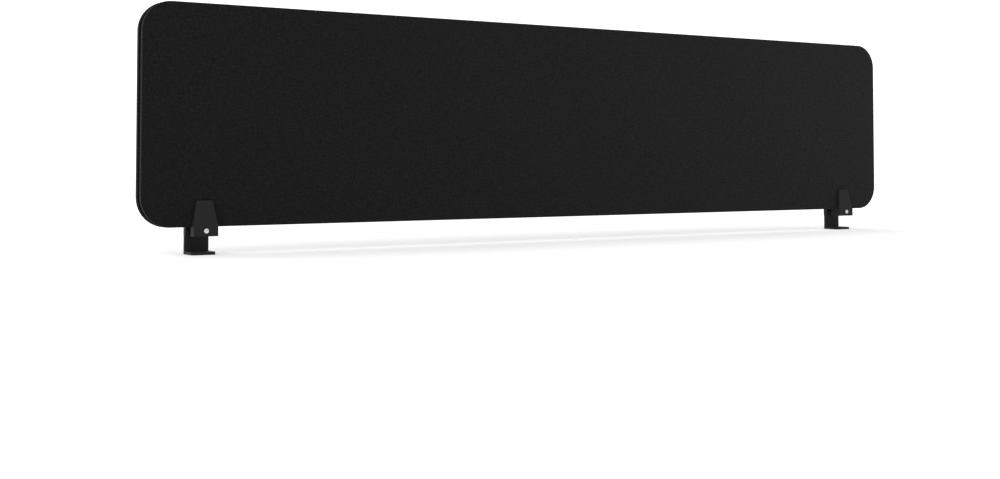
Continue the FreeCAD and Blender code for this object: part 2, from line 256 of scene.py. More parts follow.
def quarter(radius, steps):
    """Sine offset, cosine offset and arc length at steps round a quarter turn."""
    offsets = []
    for step in range(steps + 1):
        angle = math.radians(90 * step / steps)
        offsets.append((radius * math.sin(angle), radius * math.cos(angle), radius * angle))
    return offsets


# ================================================================ node materials
class Surface:
    """A material under construction: short calls that add nodes and return their outputs."""

    def __init__(self, name):
        self.material = bpy.data.materials.new(name)
        self.material.use_nodes = True
        self.tree = self.material.node_tree
        self.shader = self.tree.nodes["Principled BSDF"]

    def node(self, kind, **settings):
        made = self.tree.nodes.new(kind)
        for key, value in settings.items():
            setattr(made, key, value)
        return made

    def plug(self, socket, value):
        if isinstance(value, bpy.types.NodeSocket):
            self.tree.links.new(value, socket)
        else:
            socket.default_value = value

    def math(self, operation, a, b=0.0):
        made = self.node("ShaderNodeMath", operation=operation)
        self.plug(made.inputs[0], a)
        self.plug(made.inputs[1], b)
        return made.outputs[0]

    def place_of(self, kind="Object"):
        return self.node("ShaderNodeTexCoord").outputs[kind]

    def scaled(self, vector, scale):
        made = self.node("ShaderNodeVectorMath", operation="MULTIPLY")
        self.plug(made.inputs[0], vector)
        self.plug(made.inputs[1], scale)
        return made.outputs[0]

    def parts(self, vector):
        made = self.node("ShaderNodeSeparateXYZ")
        self.plug(made.inputs[0], vector)
        return made.outputs

    def noise(self, vector, scale, detail=2.0, roughness=0.5):
        made = self.node("ShaderNodeTexNoise")
        self.plug(made.inputs["Vector"], vector)
        self.plug(made.inputs["Scale"], scale)
        self.plug(made.inputs["Detail"], detail)
        self.plug(made.inputs["Roughness"], roughness)
        return made.outputs["Fac"]

    def range(self, value, low, high, to_low, to_high):
        made = self.node("ShaderNodeMapRange")
        self.plug(made.inputs["Value"], value)
        self.plug(made.inputs["From Min"], low)
        self.plug(made.inputs["From Max"], high)
        self.plug(made.inputs["To Min"], to_low)
        self.plug(made.inputs["To Max"], to_high)
        return made.outputs[0]

    def blend(self, share, first, second):
        made = self.node("ShaderNodeMix", data_type="RGBA")
        self.plug(made.inputs["Factor"], share)
        self.plug(made.inputs[6], first)
        self.plug(made.inputs[7], second)
        return made.outputs[2]

    def grey(self, value):
        made = self.node("ShaderNodeCombineColor")
        for channel in range(3):
            self.plug(made.inputs[channel], value)
        return made.outputs[0]

    def bump(self, height, distance, strength=1.0, normal=None):
        made = self.node("ShaderNodeBump")
        self.plug(made.inputs["Height"], height)
        self.plug(made.inputs["Distance"], distance)
        self.plug(made.inputs["Strength"], strength)
        if normal is not None:
            self.plug(made.inputs["Normal"], normal)
        return made.outputs[0]

    def edge(self, radius):
        """1 on edges sharper than the radius, 0 on flat faces."""
        rounded = self.node("ShaderNodeBevel", samples=4)
        self.plug(rounded.inputs["Radius"], radius)
        true_normal = self.node("ShaderNodeNewGeometry").outputs["Normal"]
        dot = self.node("ShaderNodeVectorMath", operation="DOT_PRODUCT")
        self.plug(dot.inputs[0], rounded.outputs[0])
        self.plug(dot.inputs[1], true_normal)
        return self.range(dot.outputs["Value"], 0.98, 0.80, 0.0, 1.0)

    def finish(self, **inputs):
        for name, value in inputs.items():
            self.plug(self.shader.inputs[name.replace("_", " ")], value)
        return self.material


def weave_height(surface, vector, pitch, jitter):
    """Height of a plain weave, 0 in the gaps and 1 on top of the yarns."""
    wander = surface.noise(vector, 1 / (9 * pitch), 2.0)
    shift = surface.range(wander, 0.3, 0.7, -jitter, jitter)
    x, y, _ = surface.parts(surface.scaled(vector, (math.pi / pitch,) * 3))
    warp = surface.math("SINE", surface.math("ADD", x, shift))
    weft = surface.math("SINE", surface.math("SUBTRACT", y, shift))
    crossing = surface.math("MULTIPLY", warp, weft)
    over = surface.math("ADD", surface.math("ABSOLUTE", warp), crossing)
    under = surface.math("SUBTRACT", surface.math("ABSOLUTE", weft), crossing)
    return surface.math("MULTIPLY", surface.math("MAXIMUM", over, under), 0.5)


def fabric(name, pitch, dark, light, sheen, coordinates="UV"):
    """Plain-woven cloth with uneven yarns, faint mottling, painted shade in the gaps between the yarns and
    a soft sheen.
    """
    surface = Surface(name)
    cloth = surface.place_of(coordinates)
    height = weave_height(surface, cloth, pitch, 0.5)
    warp_yarns = surface.noise(surface.scaled(cloth, (1 / pitch, 0.06 / pitch, 1)), 1.0, 1.0)
    weft_yarns = surface.noise(surface.scaled(cloth, (0.06 / pitch, 1 / pitch, 1)), 1.0, 1.0)
    yarns = surface.math("MULTIPLY", surface.math("ADD", warp_yarns, weft_yarns), 0.5)
    mottle = surface.noise(cloth, 1 / (3.5 * pitch), 3.0, 0.6)
    tone = surface.math("ADD", surface.math("MULTIPLY", yarns, 0.5), surface.math("MULTIPLY", mottle, 0.5))
    share = surface.range(tone, 0.38, 0.62, 0.0, 1.0)
    # Yarn tone times the weave height: the colour is darkened where the weave is low, painted shade in the
    # gaps between the yarns.
    tone_and_gap_shade = surface.math("MULTIPLY", share, surface.range(height, 0.0, 0.8, 0.55, 1.0))
    colour = surface.blend(tone_and_gap_shade, dark, light)
    sheen_here = surface.math("MULTIPLY", surface.range(tone_and_gap_shade, 0.0, 1.0, 0.7, 1.3), sheen)
    fuzz = surface.noise(cloth, 4 / pitch, 2.0, 0.7)
    relief = surface.math("ADD", height, surface.math("MULTIPLY", fuzz, 0.35))
    return surface.finish(
        Base_Color=colour,
        Roughness=0.95,
        Specular_IOR_Level=0.0,
        Sheen_Weight=sheen_here,
        Sheen_Roughness=0.6,
        Normal=surface.bump(relief, pitch * 0.16, 0.8),
    )


def powder_coat():
    """Satin black powder coat: fine orange peel, speckled gloss and faint wear on the edges."""
    surface = Surface("powder_coat")
    where = surface.place_of()
    peel = surface.noise(where, 1400.0, 3.0, 0.55)
    cloud = surface.noise(where, 350.0, 2.0)
    speck = surface.noise(where, 5200.0, 1.0)
    worn = surface.math("MULTIPLY", surface.edge(0.5 * MM), surface.range(cloud, 0.42, 0.6, 0.05, 0.5))
    base = surface.grey(surface.range(cloud, 0.3, 0.7, 0.0113, 0.0128))
    colour = surface.blend(worn, base, (0.019, 0.019, 0.019, 1))
    return surface.finish(
        Base_Color=colour,
        Roughness=surface.range(speck, 0.3, 0.7, 0.46, 0.58),
        Specular_IOR_Level=0.09,
        Normal=surface.bump(peel, 0.03 * MM, 0.5),
    )


def zinc_plate():
    """Bright zinc: pale metal with fine turning marks and slightly duller patches."""
    surface = Surface("zinc_plate")
    where = surface.place_of()
    cloud = surface.noise(where, 500.0, 3.0)
    marks = surface.noise(surface.scaled(where, (1, 0.1, 1)), 6000.0, 2.0)
    shade = surface.range(cloud, 0.3, 0.7, 0.0, 1.0)
    colour = surface.blend(shade, (0.50, 0.50, 0.49, 1), (0.66, 0.66, 0.65, 1))
    return surface.finish(
        Base_Color=colour,
        Metallic=1.0,
        Roughness=surface.range(marks, 0.3, 0.7, 0.26, 0.40),
        Normal=surface.bump(marks, 0.01 * MM, 0.4),
    )


def rubber():
    """Matt black rubber with a fine moulded grain."""
    surface = Surface("rubber")
    where = surface.place_of()
    grain = surface.noise(where, 2500.0, 3.0, 0.6)
    dust = surface.noise(where, 220.0, 3.0)
    return surface.finish(
        Base_Color=surface.grey(surface.range(dust, 0.35, 0.7, 0.006, 0.012)),
        Roughness=surface.range(grain, 0.3, 0.7, 0.75, 0.9),
        Specular_IOR_Level=0.3,
        Normal=surface.bump(grain, 0.05 * MM, 0.6),
    )


def nylon():
    """Black nylon: smooth with soft highlights along each tooth."""
    surface = Surface("nylon")
    where = surface.place_of()
    cloud = surface.noise(where, 300.0, 2.0)
    fine = surface.noise(where, 9000.0, 2.0)
    return surface.finish(
        Base_Color=surface.grey(surface.range(cloud, 0.3, 0.7, 0.003, 0.007)),
        Roughness=surface.range(fine, 0.3, 0.7, 0.32, 0.48),
        Specular_IOR_Level=0.3,
        Normal=surface.bump(fine, 0.01 * MM, 0.3),
    )


def enamel():
    """Black baked enamel on the zip's metal parts, rubbed pale on its edges."""
    surface = Surface("enamel")
    where = surface.place_of()
    cloud = surface.noise(where, 900.0, 3.0)
    rubbed = surface.math("MULTIPLY", surface.edge(0.25 * MM), surface.range(cloud, 0.4, 0.6, 0.1, 0.5))
    colour = surface.blend(rubbed, (0.004, 0.004, 0.004, 1), (0.06, 0.06, 0.06, 1))
    return surface.finish(
        Base_Color=colour,
        Roughness=surface.range(cloud, 0.3, 0.7, 0.28, 0.42),
        Specular_IOR_Level=0.25,
        Normal=surface.bump(cloud, 0.02 * MM, 0.4),
    )


def wood(name, along, dark, light):
    """Planed softwood with its grain running one way."""
    surface = Surface(name)
    stretch = [90.0, 90.0, 90.0]
    stretch["XYZ".index(along)] = 4.0
    where = surface.scaled(surface.place_of(), tuple(stretch))
    rings = surface.node("ShaderNodeTexWave", wave_type="BANDS", bands_direction="DIAGONAL")
    surface.plug(rings.inputs["Vector"], where)
    surface.plug(rings.inputs["Scale"], 0.35)
    surface.plug(rings.inputs["Distortion"], 5.0)
    surface.plug(rings.inputs["Detail"], 3.0)
    fibres = surface.noise(where, 9.0, 4.0, 0.65)
    broad = surface.math("MULTIPLY", rings.outputs["Fac"], 0.55)
    fine = surface.math("MULTIPLY", fibres, 0.45)
    tone = surface.math("ADD", broad, fine)
    return surface.finish(
        Base_Color=surface.blend(tone, dark, light),
        Roughness=surface.range(fibres, 0.3, 0.7, 0.55, 0.75),
        Specular_IOR_Level=0.3,
        Normal=surface.bump(fibres, 0.2 * MM, 0.4),
    )


def felt(name, dark, light):
    """Matted fibres, uneven in tone and lightly tufted."""
    surface = Surface(name)
    where = surface.place_of()
    tufts = surface.noise(where, 350.0, 5.0, 0.7)
    hairs = surface.noise(surface.scaled(where, (1, 1, 3)), 2200.0, 3.0, 0.8)
    tone = surface.math("ADD", surface.math("MULTIPLY", tufts, 0.6), surface.math("MULTIPLY", hairs, 0.4))
    return surface.finish(
        Base_Color=surface.blend(surface.range(tone, 0.35, 0.65, 0.0, 1.0), dark, light),
        Roughness=0.95,
        Specular_IOR_Level=0.1,
        Sheen_Weight=0.25,
        Normal=surface.bump(tone, 0.4 * MM, 0.7),
    )


COVER_DARK = (0.0031, 0.0032, 0.0032, 1)
COVER_LIGHT = (0.0081, 0.0083, 0.0082, 1)
TAPE_DARK = (0.0030, 0.0030, 0.0030, 1)
TAPE_LIGHT = (0.0080, 0.0080, 0.0080, 1)
THREAD_DARK = (0.0060, 0.0060, 0.0060, 1)
THREAD_LIGHT = (0.0150, 0.0150, 0.0150, 1)
PINE_DARK = (0.42, 0.28, 0.15, 1)
PINE_LIGHT = (0.72, 0.55, 0.36, 1)

COVER_CLOTH = fabric("cover_cloth", 0.85 * MM, COVER_DARK, COVER_LIGHT, 0.078)
TAPE_CLOTH = fabric("tape_cloth", 0.45 * MM, TAPE_DARK, TAPE_LIGHT, 0.05)
THREAD = fabric("sewing_thread", 0.30 * MM, THREAD_DARK, THREAD_LIGHT, 0.10, "Object")
COAT = powder_coat()
ZINC = zinc_plate()
RUBBER = rubber()
NYLON = nylon()
ENAMEL = enamel()
SOFTWOOD_X = wood("softwood_along_x", "X", PINE_DARK, PINE_LIGHT)
SOFTWOOD_Z = wood("softwood_along_z", "Z", PINE_DARK, PINE_LIGHT)
BEECH = wood("beech_along_z", "Z", (0.55, 0.38, 0.22, 1), (0.78, 0.60, 0.42, 1))
BOARD_FELT = felt("board_felt", (0.36, 0.36, 0.35, 1), (0.62, 0.62, 0.60, 1))
PALE_FELT = felt("pale_felt", (0.55, 0.55, 0.53, 1), (0.80, 0.80, 0.78, 1))


def repaint(node, material):
    """Gives a carried-over CAD node its finish."""
    slots = frame["nodes"][node].data.materials
    slots.clear()
    slots.append(material)


# ================================================================ fabric covers
def cover_profile():
    """Rings from the face to the hem: inset, depth and how far the cloth has run past the edge."""
    rings = []
    for inset in (33.0, 26.5, 20.5, 15.0, 10.5, 7.0, 4.6, 3.0, 1.9):
        rings.append((inset * MM - COVER_PROUD, HALF_THICKNESS, -inset * MM))
    run = -ROLL_RADIUS
    for sine, cosine, arc in quarter(ROLL_RADIUS, 5):
        inset = ROLL_RADIUS - sine - COVER_PROUD
        rings.append((inset, HALF_THICKNESS - ROLL_RADIUS + cosine, run + arc))
    run = rings[-1][2]
    side_start = HALF_THICKNESS - ROLL_RADIUS
    side_end = ZIP_OPENING_HALF + FOLD_RADIUS
    for depth in spread(side_start, side_end, 0.9 * MM)[1:-1]:
        rings.append((-COVER_PROUD, depth, run + side_start - depth))
    run = run + side_start - side_end
    for sine, cosine, arc in quarter(FOLD_RADIUS, 3):
        rings.append((FOLD_RADIUS - cosine - COVER_PROUD, side_end - sine, run + arc))
    run = rings[-1][2]
    for inset in spread(FOLD_RADIUS, HEM_DEPTH, 0.9 * MM)[1:]:
        rings.append((inset - COVER_PROUD, ZIP_OPENING_HALF, run + inset - FOLD_RADIUS))
    return rings


def face_grid():
    """Points of the flat middle of the face, where the corner arcs have shrunk to points."""
    columns = spread(-(HALF_LENGTH - CORNER_RADIUS), HALF_LENGTH - CORNER_RADIUS, CELL)
    rows = spread(PANEL_BOTTOM + CORNER_RADIUS, PANEL_TOP - CORNER_RADIUS, CELL)
    return columns, rows


def grid_border(columns, rows):
    """Grid point under each point of the outline rings, in the outline's order."""
    wide = len(columns)
    tall = len(rows)

    def index(column, row):
        return row * wide + column

    border = [index(column, 0) for column in range(wide)]
    border += [index(wide - 1, 0)] * (CORNER_STEPS - 1)
    border += [index(wide - 1, row) for row in range(tall)]
    border += [index(wide - 1, tall - 1)] * (CORNER_STEPS - 1)
    border += [index(column, tall - 1) for column in reversed(range(wide))]
    border += [index(0, tall - 1)] * (CORNER_STEPS - 1)
    border += [index(0, row) for row in reversed(range(tall))]
    border += [index(0, 0)] * (CORNER_STEPS - 1)
    return border


def cover_sheet(side):
    """Points, faces and flat-cloth coordinates of one cover half, side -1 for the front."""
    columns, rows = face_grid()
    points = [(x, side * HALF_THICKNESS, z) for z in rows for x in columns]
    flat = [(x, z) for z in rows for x in columns]
    faces = grid_faces(len(columns), len(rows))
    border = grid_border(columns, rows)
    size = len(border)
    first = len(points)
    edge_points, outward = outline(0.0)
    profile = cover_profile()
    for inset, depth, run in profile:
        ring_points, _ = outline(inset)
        unrolled = edge_points + outward * run
        points += [(x, side * depth, z) for x, z in ring_points]
        flat += [tuple(point) for point in unrolled]
    for step in range(size):
        after = (step + 1) % size
        corner = [border[step], border[after], first + after, first + step]
        if border[step] == border[after]:
            corner.pop(1)
        faces.append(tuple(reversed(corner)))
    faces += turned_over(ring_faces(len(profile), size, first=first))
    if side > 0:
        faces = turned_over(faces)
    return points, faces, flat


def pad_boxes():
    """X and Z ranges where the rubber pads press on the cloth."""
    boxes = []
    for side in SIDES:
        low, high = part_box(side + "_front_pad")
        boxes.append((low.x, high.x, low.z, high.z))
    return boxes


def held(x, z):
    """Whether the cloth can't move here: along its turned edge and where the pads press on it."""
    across = HALF_LENGTH - SHEET_MARGIN - abs(x)
    above = min(z - PANEL_BOTTOM, PANEL_TOP - z) - SHEET_MARGIN
    if across < 0 or above < 0:
        return True
    if across < CORNER_RADIUS and above < CORNER_RADIUS:
        if math.hypot(CORNER_RADIUS - across, CORNER_RADIUS - above) > CORNER_RADIUS:
            return True
    near_pad = 3 * MM
    for x0, x1, z0, z1 in pad_boxes():
        if x0 - near_pad < x < x1 + near_pad and z0 - near_pad < z < z1 + near_pad:
            return True
    return False


def swell(side):
    """Cloth simulation of the face over its wadding, on a coarse sheet.

    Gives the sheet's columns, its rows and how far each point lifted, from 0 to 1.
    """
    columns = spread(-HALF_LENGTH, HALF_LENGTH, SHEET_CELL)
    rows = spread(PANEL_BOTTOM, PANEL_TOP, SHEET_CELL)
    points = [(x, side * HALF_THICKNESS, z) for z in rows for x in columns]
    faces = grid_faces(len(columns), len(rows))
    if side > 0:
        faces = turned_over(faces)
    sheet = build_piece("sheet", points, faces, COVER_CLOTH)
    group = sheet.vertex_groups.new(name="held")
    group.add([index for index, (x, _, z) in enumerate(points) if held(x, z)], 1.0, "REPLACE")
    cloth = sheet.modifiers.new("cloth", "CLOTH")
    settings = cloth.settings
    settings.quality = 5
    settings.mass = 0.3
    settings.tension_stiffness = 40
    settings.compression_stiffness = 40
    settings.shear_stiffness = 20
    settings.bending_stiffness = 2
    settings.use_pressure = True
    settings.uniform_pressure_force = 4
    settings.vertex_group_mass = "held"
    settings.effector_weights.gravity = 0
    cloth.collision_settings.use_collision = False
    scene = bpy.context.scene
    for number in range(1, SWELL_FRAMES + 1):
        scene.frame_set(number)
    moved = sheet.evaluated_get(bpy.context.evaluated_depsgraph_get()).data
    depths = np.array([vertex.co.y for vertex in moved.vertices])
    scene.frame_set(1)
    bpy.data.objects.remove(sheet)
    lift = np.clip(depths * side - HALF_THICKNESS, 0, None)
    most = lift.max()
    if most > 0:
        lift = lift / most
    return np.array(columns), np.array(rows), lift.reshape(len(rows), len(columns))


def lift_at(simulated, x, z):
    """Lift between the points of the simulated sheet."""
    columns, rows, lift = simulated
    column = np.clip(np.searchsorted(columns, x) - 1, 0, len(columns) - 2)
    row = np.clip(np.searchsorted(rows, z) - 1, 0, len(rows) - 2)
    u = np.clip((x - columns[column]) / (columns[column + 1] - columns[column]), 0, 1)
    v = np.clip((z - rows[row]) / (rows[row + 1] - rows[row]), 0, 1)
    low = lift[row, column] * (1 - u) + lift[row, column + 1] * u
    high = lift[row + 1, column] * (1 - u) + lift[row + 1, column + 1] * u
    return low * (1 - v) + high * v


def crown(piece, side):
    """Moves the cover's face out by the simulated lift, up to the crown's height."""
    rest = np.array([vertex.co for vertex in piece.data.vertices])
    lift = lift_at(swell(side), rest[:, 0], rest[:, 2])
    on_face = np.abs(rest[:, 1]) > HALF_THICKNESS - 0.01 * MM
    rest[:, 1] += side * CROWN * lift * on_face
    piece.data.vertices.foreach_set("co", rest.ravel())
    piece.data.update()


def make_cover(name, side, node):
    """One half of the fabric cover, crowned and given its thickness."""
    points, faces, flat = cover_sheet(side)
    piece = build_piece(name, points, faces, COVER_CLOTH)
    set_unrolled(piece, flat)
    crown(piece, side)
    shell = piece.modifiers.new("thickness", "SOLIDIFY")
    shell.thickness = FABRIC
    shell.offset = -1
    apply_modifiers(piece)
    place(piece, "panel", "cover_fabric", node)


def stitch_line(name, side):
    """Row of sewn stitches along the cover's side, beside the zip."""
    from_fold = 1.9 * MM
    pitch = 3.4 * MM
    length = 2.7 * MM
    radius = 0.17 * MM
    # Along the stitch: share of its length from the middle, rise in millimetres, share of its radius.
    sections = (
        (-0.5, -0.16, 0.55), (-0.36, 0.04, 1.0), (0.0, 0.10, 1.0), (0.36, 0.04, 1.0), (0.5, -0.16, 0.55),
    )
    around = 6
    closed, normals, travelled = closed_outline(0.0)
    count = int(travelled[-1] / pitch)
    depth = side * (ZIP_OPENING_HALF + from_fold)
    points = []
    faces = []
    for stitch in range(count):
        first = len(points)
        for share, rise, girth in sections:
            at = (stitch + 0.5) * travelled[-1] / count + share * length
            x = np.interp(at, travelled, closed[:, 0])
            z = np.interp(at, travelled, closed[:, 1])
            nx = np.interp(at, travelled, normals[:, 0])
            nz = np.interp(at, travelled, normals[:, 1])
            for angle in spread_angles(around):
                out = COVER_PROUD + rise * MM + girth * radius * math.cos(angle)
                points.append((x + nx * out, depth + girth * radius * math.sin(angle), z + nz * out))
        faces += ring_faces(len(sections), around, cap_start=True, cap_end=True, first=first)
    piece = build_piece(name, points, faces, THREAD)
    place(piece, "panel", "cover_fabric")


# ================================================================ zip
def path_along(inset, pitch, gap_half=ZIP_END_HALF):
    """Evenly spaced places round the outline, skipping the gap between the zip's two ends."""
    closed, normals, travelled = closed_outline(inset)
    total = travelled[-1]
    start = ZIP_END_X + gap_half - closed[0][0]
    run = total - 2 * gap_half
    count = int(run / pitch)
    stations = (start + np.arange(count + 1) * run / count) % total
    x = np.interp(stations, travelled, closed[:, 0])
    z = np.interp(stations, travelled, closed[:, 1])
    nx = np.interp(stations, travelled, normals[:, 0])
    nz = np.interp(stations, travelled, normals[:, 1])
    return np.column_stack([x, z]), np.column_stack([nx, nz])


def make_coil(name, side, node):
    """Nylon coil: one wire wound in flattened loops that head towards the other half."""
    loop_pitch = 1.7 * MM
    per_loop = 8
    around = 5
    wire = 0.27 * MM
    thick = TAPE_INSET - COIL_INSET
    points_2d, normals = path_along(COIL_INSET + thick / 2, loop_pitch / per_loop)
    middle = (COIL_OUTER + COIL_INNER) / 2
    reach = (COIL_OUTER - COIL_INNER) / 2 - wire
    rise = thick / 2 - wire
    start_angle = 0.0 if side < 0 else math.pi
    turn = 2 * math.pi * np.arange(len(points_2d)) / per_loop + start_angle
    centre = np.column_stack([
        points_2d[:, 0] + normals[:, 0] * rise * np.sin(turn),
        side * (middle + reach * np.cos(turn)),
        points_2d[:, 1] + normals[:, 1] * rise * np.sin(turn),
    ])
    tangent = np.gradient(centre, axis=0)
    tangent /= np.linalg.norm(tangent, axis=1)[:, None]
    along = np.column_stack([-normals[:, 1], np.zeros(len(normals)), normals[:, 0]])
    across = np.cross(tangent, along)
    across /= np.linalg.norm(across, axis=1)[:, None]
    upward = np.cross(across, tangent)
    points = []
    for angle in spread_angles(around):
        points.append(centre + wire * (math.cos(angle) * across + math.sin(angle) * upward))
    woven = np.stack(points, axis=1).reshape(-1, 3)
    faces = ring_faces(len(centre), around, cap_start=True, cap_end=True)
    piece = build_piece(name, woven, faces, NYLON)
    place(piece, "panel", "zip_coil", node)


def make_tape(name, side, node):
    """Woven tape under the coil, with a raised cord along its sewn edge; its ends meet."""
    ends_apart = 0.05 * MM
    points_2d, normals = path_along(TAPE_INSET, 4 * MM, ends_apart)
    low = 0.5 * MM
    section = [
        (COIL_INNER, 0.0), (COIL_OUTER, 0.0), (COIL_OUTER + 0.5 * MM, 0.12 * MM),
        (COIL_OUTER + 1.0 * MM, 0.0), (TAPE_OUTER, 0.0), (TAPE_OUTER, -low), (COIL_INNER, -low),
    ]
    points = []
    flat = []
    travelled = 0.0
    previous = points_2d[0]
    for place_2d, normal in zip(points_2d, normals):
        travelled += float(np.linalg.norm(place_2d - previous))
        previous = place_2d
        for across, out in section:
            points.append((place_2d[0] + normal[0] * out, side * across, place_2d[1] + normal[1] * out))
            flat.append((travelled, across + out))
    faces = ring_faces(len(points_2d), len(section), cap_start=True, cap_end=True)
    if side > 0:
        faces = turned_over(faces)
    piece = build_piece(name, points, faces, TAPE_CLOTH, smooth=False)
    set_unrolled(piece, flat)
    place(piece, "panel", "zip_tape", node)


def rounded_plate(outline_at, low, high, edge, count=64):
    """Rings of a flat plate in the XY plane whose rim is rounded; outline_at gives x and y for an inset."""
    levels = [(edge, low)]
    for sine, cosine, _ in quarter(edge, 4)[1:]:
        levels.append((edge - sine, low + edge - cosine))
    for sine, cosine, _ in quarter(edge, 4):
        levels.append((edge - cosine, high - edge + sine))
    points = []
    for inset, z in levels:
        points += [(x, y, z) for x, y in outline_at(inset, count)]
    return points, len(levels)


def slider_outline(low, high):
    """Slider seen from below: broad shoulders at the open end, waisted towards the closed end."""
    middle = (low.x + high.x) / 2
    half_long = (high.x - low.x) / 2
    half_wide = (high.y - low.y) / 2

    def at(inset, count):
        found = []
        for angle in spread_angles(count):
            along = boxy(math.cos(angle), 0.45)
            across = boxy(math.sin(angle), 0.45)
            waist = 0.88 + 0.12 * math.tanh(3 * along)
            found.append((
                middle + along * (half_long - inset),
                across * (half_wide * waist - inset),
            ))
        return found

    return at


def make_slider():
    """Zip slider: outer and inner plates, the blade that parts the chains, and a lug for a pull."""
    low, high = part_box("zip_slider")
    plate = 1.0 * MM
    at = slider_outline(low, high)
    points = []
    faces = []
    for bottom, top in ((low.z, low.z + plate), (high.z - plate, high.z)):
        first = len(points)
        made, rings = rounded_plate(at, bottom, top, 0.3 * MM)
        points += made
        faces += ring_faces(rings, len(made) // rings, cap_start=True, cap_end=True, first=first)

    def blade(inset, count):
        middle = (low.x + high.x) / 2
        return [
            (middle + (3.2 * MM - inset) * math.cos(a), (0.2 * MM - inset * 0.2) * math.sin(a))
            for a in spread_angles(count)
        ]

    first = len(points)
    made, rings = rounded_plate(blade, low.z + plate * 0.8, high.z - plate * 0.8, 0.1 * MM, 24)
    points += made
    faces += ring_faces(rings, len(made) // rings, cap_start=True, cap_end=True, first=first)

    lug_steps = 16
    lug_around = 10
    middle = (low.x + high.x) / 2
    first = len(points)
    for step in range(lug_steps + 1):
        angle = math.pi * step / lug_steps
        girth = 0.42 * MM + 0.18 * MM * abs(math.cos(angle))
        centre = (middle + 2.2 * MM * math.cos(angle), low.z + 0.35 * MM - 0.85 * MM * math.sin(angle))
        for turn in spread_angles(lug_around):
            reach = girth * math.cos(turn)
            points.append((
                centre[0] + reach * math.cos(angle), 1.5 * girth * math.sin(turn),
                centre[1] - reach * math.sin(angle),
            ))
    faces += ring_faces(lug_steps + 1, lug_around, cap_start=True, cap_end=True, first=first)
    piece = build_piece("slider_body", points, faces, ENAMEL)
    place(piece, "zip_slider", "zip_metal", "zip_slider")


def make_end_tab():
    """Bit of tape folded over the place where the zip's two ends meet."""
    half_long = (stops_high.x - stops_low.x) / 2 - 2.3 * MM
    half_wide = ZIP_OPENING_HALF - 0.4 * MM

    def at(inset, count):
        found = []
        for angle in spread_angles(count):
            along = boxy(math.cos(angle), 0.3)
            across = boxy(math.sin(angle), 0.3)
            found.append((ZIP_END_X + along * (half_long - inset), across * (half_wide - inset)))
        return found

    bottom = PANEL_BOTTOM + TAPE_INSET - 0.55 * MM
    points, rings = rounded_plate(at, bottom, bottom + 0.5 * MM, 0.15 * MM)
    faces = ring_faces(rings, len(points) // rings, cap_start=True, cap_end=True)
    piece = build_piece("tape_end_tab", points, faces, TAPE_CLOTH, smooth=False)
    set_unrolled(piece, [(x, y) for x, y, _ in points])
    place(piece, "panel", "zip_tape")


def make_stops():
    """Crimped metal clips across the closed chain at the zip's two ends."""
    low, high = stops_low, stops_high
    length = 2.0 * MM
    half = (high.y - low.y) / 2
    deep = high.z - low.z
    around = 40
    made = []
    for name, start in (("zip_end_stop", low.x), ("zip_start_stop", high.x - length)):
        points = []
        sections = ((0.0, 0.35), (0.05, 0.12), (0.15, 0.0), (0.85, 0.0), (0.95, 0.12), (1.0, 0.35))
        for share, inset in sections:
            for angle in spread_angles(around):
                across = boxy(math.cos(angle), 0.5)
                up = boxy(math.sin(angle), 0.5)
                dip = 0.35 * MM * math.exp(-(across * 4) ** 2)
                reach = deep / 2 - inset * MM - dip
                points.append((
                    start + share * length, across * (half - inset * MM), low.z + deep / 2 + up * reach,
                ))
        faces = ring_faces(len(sections), around, cap_start=True, cap_end=True)
        made.append(build_piece(name, points, faces, ENAMEL))
        place(made[-1], "panel", "zip_metal")
    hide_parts("zip_stops")


# ================================================================ screws and nuts
def hexagon_radius(angle, across_flats):
    """Distance from the middle of a hexagon to its edge."""
    sector = (angle + math.pi / 6) % (math.pi / 3) - math.pi / 6
    return across_flats / 2 / math.cos(sector)


def make_screw(side):
    """Button head with a hexagon socket, and a shank whose far half is threaded."""
    node = side + "_clamp_screw"
    low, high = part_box(node)
    axis = (low + high) / 2
    head_radius = 3.5 * MM
    head = 2.2 * MM
    rim = 1.2 * MM
    shank = 2.0 * MM
    core = 1.62 * MM
    pitch = 0.7 * MM
    count = 48
    face = low.y
    seat = face + head
    rings = []

    def ring(radius_at, depth):
        rings.append([
            (radius_at(a) * math.cos(a), depth, radius_at(a) * math.sin(a))
            for a in spread_angles(count)
        ])

    socket = 2.5 * MM
    floor = face + 1.0 * MM
    flat_radius = 2.3 * MM
    point_radius = 0.02 * MM
    ring(lambda a: point_radius, floor + 0.3 * MM)
    ring(lambda a: hexagon_radius(a, socket) * 0.98, floor)
    ring(lambda a: hexagon_radius(a, socket), floor - 0.05 * MM)
    ring(lambda a: hexagon_radius(a, socket), face + 0.12 * MM)
    ring(lambda a: hexagon_radius(a, socket) + 0.12 * MM, face)
    ring(lambda a: flat_radius, face)
    for step in range(1, 7):
        angle = math.radians(90 * step / 6)
        radius = flat_radius + (head_radius - flat_radius) * math.sin(angle)
        depth = face + (head - rim) * (1 - math.cos(angle))
        ring(lambda a, radius=radius: radius, depth)
    ring(lambda a: head_radius, seat - 0.15 * MM)
    ring(lambda a: head_radius - 0.15 * MM, seat)
    ring(lambda a: shank, seat)
    thread_start = seat + 24 * MM
    ring(lambda a: shank, thread_start - 0.2 * MM)
    per_pitch = 6
    tip = high.y
    steps = int((tip - 0.3 * MM - thread_start) / pitch * per_pitch)
    for step in range(steps + 1):
        depth = thread_start + step * pitch / per_pitch
        fade = min(1.0, step / per_pitch, (steps - step) / per_pitch + 0.3)

        def thread(a, depth=depth, fade=fade):
            phase = (depth / pitch - a / (2 * math.pi)) % 1.0
            ridge = 1 - abs(2 * phase - 1)
            return shank - (shank - core) * fade * (1 - min(1.0, ridge * 1.25))

        ring(thread, depth)
    ring(lambda a: core, tip)
    ring(lambda a: point_radius, tip)
    points = [point for loop in rings for point in loop]
    faces = ring_faces(len(rings), count)
    piece = build_piece(side + "_button_screw", points, faces, ZINC)
    piece.data.transform(Matrix.Translation((axis.x, 0, axis.z)))
    place(piece, node, "bright_zinc", node)


